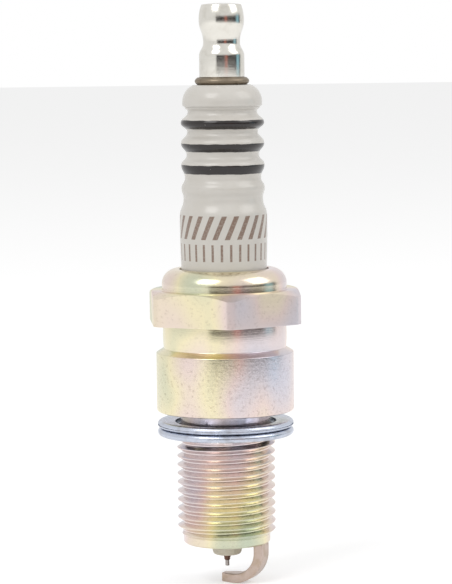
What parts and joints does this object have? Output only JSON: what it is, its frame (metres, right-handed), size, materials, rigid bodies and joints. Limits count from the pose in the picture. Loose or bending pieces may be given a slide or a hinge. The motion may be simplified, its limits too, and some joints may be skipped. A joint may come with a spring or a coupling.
{
  "type": "spark plug",
  "caption": "Spark plug with a ribbed ceramic insulator, crimped hexagonal steel shell, long screw thread, loose crush gasket and a hooked ground electrode.",
  "frame": {"origin": "on the axis, in the plane of the gasket seat under the shell's flange", "axes": "+Z along the axis towards the terminal, +X square to one of the hexagon's flats, a hexagon corner faces -Y"},
  "size_m": [0.0208, 0.0234, 0.0825],
  "materials": {
    "plated_steel": "turned steel with a pale iridescent zinc plating",
    "gasket_steel": "bright rolled steel sheet",
    "packing_steel": "soft steel wire and washer",
    "talc": "pressed talc powder",
    "glazed_alumina": "clear glaze over white alumina, dark bands on three ribs",
    "stud_steel": "dull turned steel",
    "nickel_plate": "bright nickel plating",
    "seal_glass": "opaque conductive glass",
    "resistor_body": "carbon and glass compound",
    "nickel_alloy": "drawn nickel alloy, lightly heat tinted",
    "copper": "copper",
    "iridium": "fine iridium wire"
  },
  "bodies": {
    "plug_body": {"metal_shell": "plated_steel", "ground_electrode": "nickel_alloy", "seat_packing": "packing_steel", "lower_packing_ring": "packing_steel", "talc_fill": "talc", "upper_packing_ring": "packing_steel", "insulator": "glazed_alumina", "terminal_stud": "stud_steel", "upper_glass_seal": "seal_glass", "resistor": "resistor_body", "lower_glass_seal": "seal_glass", "centre_electrode": "nickel_alloy", "copper_core": "copper", "tip_weld": "nickel_alloy", "iridium_tip": "iridium"},
    "terminal_nut": {"terminal_nut": "nickel_plate"},
    "gasket": {"gasket": "gasket_steel"}
  },
  "joints": [
    {"name": "nut_lift", "type": "slide", "parent": "plug_body", "child": "terminal_nut", "axis": [0, 0, 1], "range_m": [0, 0.009]},
    {"name": "gasket_slide", "type": "slide", "parent": "plug_body", "child": "gasket", "axis": [0, 0, 1], "range_m": [-0.0005, 0.00115]}
  ]
}
